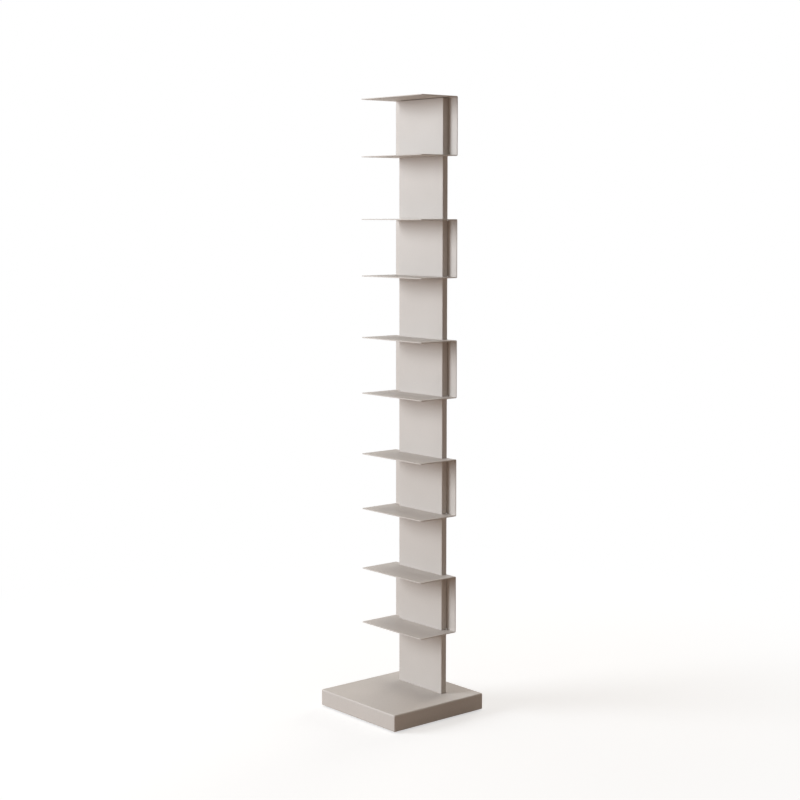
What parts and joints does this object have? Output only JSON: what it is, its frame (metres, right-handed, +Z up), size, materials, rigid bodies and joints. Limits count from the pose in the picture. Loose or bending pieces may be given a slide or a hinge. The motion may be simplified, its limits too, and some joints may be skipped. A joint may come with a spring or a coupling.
{
  "type": "spine tower bookcase",
  "caption": "Free-standing tower bookcase: a weighted square base, a flat steel spine and folded C-shaped shelf modules that leave open bays for stacks laid flat.",
  "frame": {"origin": "on the floor under the centre of the square base, at the level of the feet", "axes": "+Z up, -Y towards the open front of the bays, +X to the right of someone who faces the open front"},
  "size_m": [0.35, 0.35, 1.843],
  "materials": {
    "powder_coat": "matte warm grey powder coat",
    "bare_steel": "dark mill finish",
    "zinc_steel": "zinc plated",
    "rubber": "matte"
  },
  "bodies": {
    "root": {"base_shell": "powder_coat", "ballast_plate": "bare_steel", "spine_foot_flange": "bare_steel", "flange_nut_1": "zinc_steel", "flange_nut_2": "zinc_steel", "flange_nut_3": "zinc_steel", "flange_nut_4": "zinc_steel", "foot_1": "rubber", "foot_2": "rubber", "foot_3": "rubber", "foot_4": "rubber", "spine_lower": "powder_coat", "spine_upper": "powder_coat", "splice_sleeve": "bare_steel", "splice_screw_1": "zinc_steel", "splice_screw_2": "zinc_steel", "nut_plate_1": "bare_steel", "nut_plate_2": "bare_steel", "nut_plate_4": "bare_steel", "nut_plate_5": "bare_steel", "shelf_module_1": "powder_coat", "shelf_module_2": "powder_coat", "shelf_module_3": "powder_coat", "shelf_module_4": "powder_coat", "shelf_module_5": "powder_coat", "module_1_screw_1": "zinc_steel", "module_1_screw_2": "zinc_steel", "module_1_screw_3": "zinc_steel", "module_1_screw_4": "zinc_steel", "module_2_screw_1": "zinc_steel", "module_2_screw_2": "zinc_steel", "module_2_screw_3": "zinc_steel", "module_2_screw_4": "zinc_steel", "module_3_screw_1": "zinc_steel", "module_3_screw_2": "zinc_steel", "module_3_screw_3": "zinc_steel", "module_3_screw_4": "zinc_steel", "module_4_screw_1": "zinc_steel", "module_4_screw_2": "zinc_steel", "module_4_screw_3": "zinc_steel", "module_4_screw_4": "zinc_steel", "module_5_screw_1": "zinc_steel", "module_5_screw_2": "zinc_steel", "module_5_screw_3": "zinc_steel", "module_5_screw_4": "zinc_steel"}
  },
  "joints": []
}
